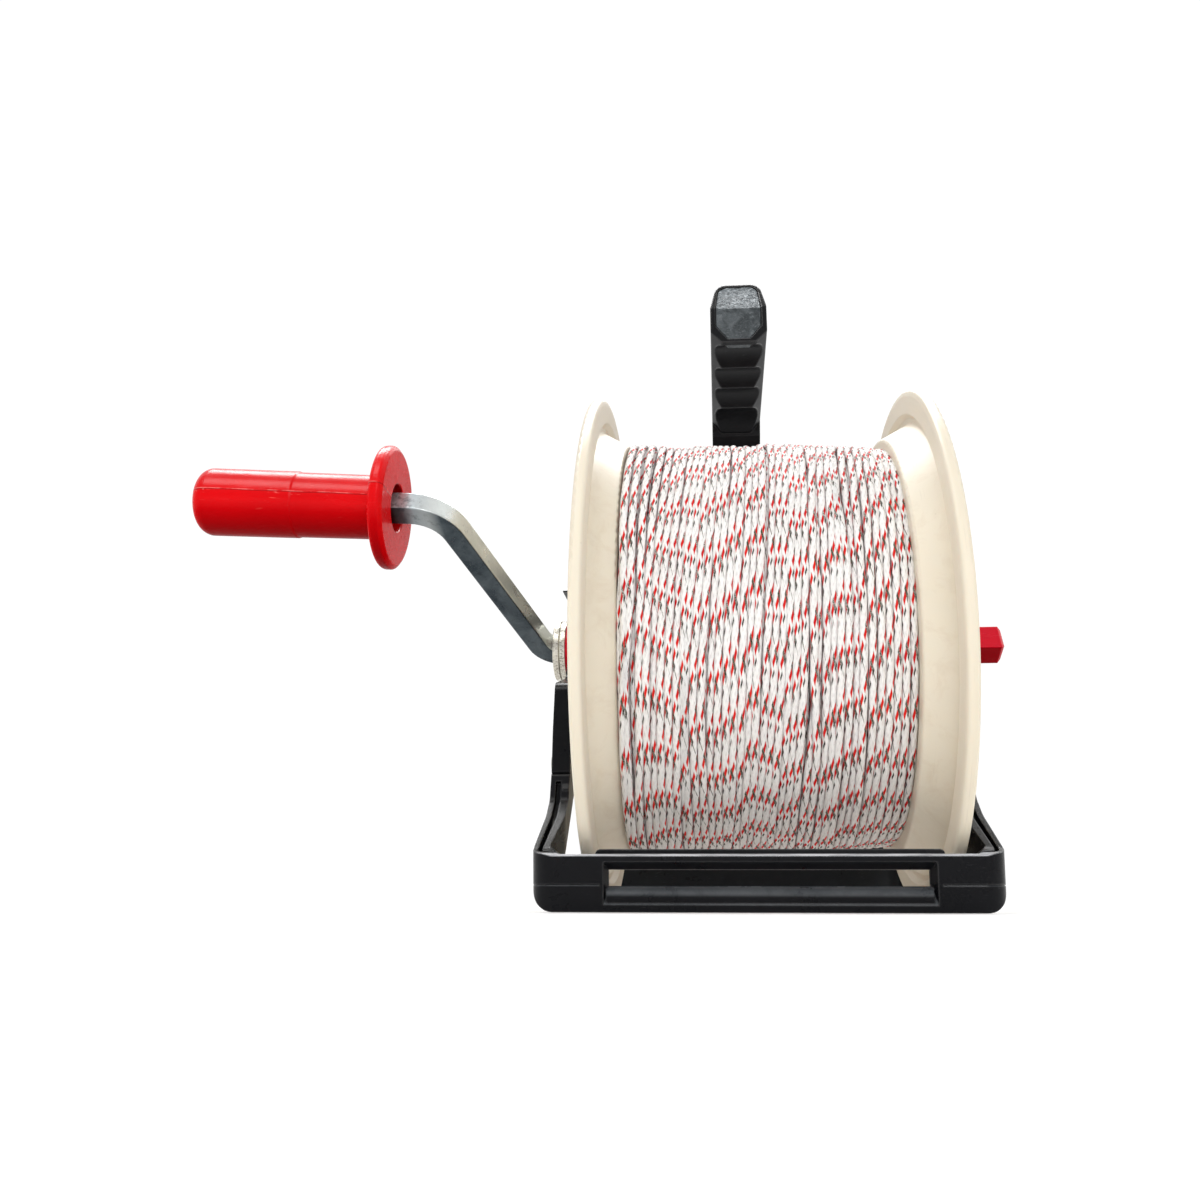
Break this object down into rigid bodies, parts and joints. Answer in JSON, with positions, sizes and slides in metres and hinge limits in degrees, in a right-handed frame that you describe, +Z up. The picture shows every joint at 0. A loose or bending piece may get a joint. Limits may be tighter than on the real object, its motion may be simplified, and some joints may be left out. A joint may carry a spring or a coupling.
{
  "type": "electric fence reel",
  "caption": "Hand-wound electric fence reel: flanged drum of braided polywire on a square crank bar, in a moulded stand with a wire guide, a drum lock and a carry handle.",
  "frame": {"origin": "middle of the bounding box in X and Y, on the resting plane under the front guide and the rear foot", "axes": "+X along the axle away from the crank, +Y from the wire guide towards the rear foot, +Z up"},
  "size_m": [0.2894, 0.2408, 0.2829],
  "materials": {
    "black_plastic": "moulded polypropylene, fine grain, semi-matt",
    "plug_plastic": "rough dark grey plug",
    "cream_plastic": "off-white moulded polypropylene, glossy, slightly translucent",
    "red_plastic": "glossy red nylon",
    "zinc_steel": "drawn 8 mm square bar, zinc plated",
    "screw_steel": "zinc plated",
    "washer_zinc": "zinc plated, dull",
    "polywire": "braided white polyethylene strands with red and dark tracer strands"
  },
  "bodies": {
    "frame": {"left_side_frame": "black_plastic", "right_side_frame": "black_plastic", "handle_yoke": "black_plastic", "handle_end_plug": "plug_plastic", "front_guide": "black_plastic", "rear_foot": "black_plastic", "yoke_screws": "screw_steel", "guide_screws": "screw_steel", "foot_screws": "screw_steel"},
    "rotor": {"crank_bar": "zinc_steel", "axle_retaining_pin": "screw_steel", "hub_washer_inner": "washer_zinc", "hub_washer_outer": "washer_zinc", "thrust_washer": "washer_zinc", "left_bush": "red_plastic", "right_bush": "red_plastic", "axle_end_cap": "red_plastic", "grip_retaining_ring": "screw_steel", "drum_flange_left": "cream_plastic", "drum_flange_right": "cream_plastic", "drum_core": "cream_plastic", "left_flange_screws": "screw_steel", "right_flange_screws": "screw_steel", "polywire_winding": "polywire"},
    "grip": {"crank_grip": "red_plastic"},
    "lock_lever": {"drum_lock_lever": "black_plastic", "lock_pawl": "black_plastic", "lock_pawl_screw": "screw_steel"}
  },
  "joints": [
    {"name": "drum_spin", "type": "hinge", "parent": "frame", "child": "rotor", "pos_m": [0.04974, -0.02085, 0.0999], "axis": [1, 0, 0], "continuous": true},
    {"name": "grip_spin", "type": "hinge", "parent": "rotor", "child": "grip", "pos_m": [-0.07631, -0.09371, 0.13347], "axis": [-0.997, -0.0702, 0.0323], "continuous": true},
    {"name": "lock_pivot", "type": "hinge", "parent": "frame", "child": "lock_lever", "pos_m": [-0.02626, 0.0199, 0.14382], "axis": [1, 0, 0], "range_deg": [0, 10]}
  ]
}
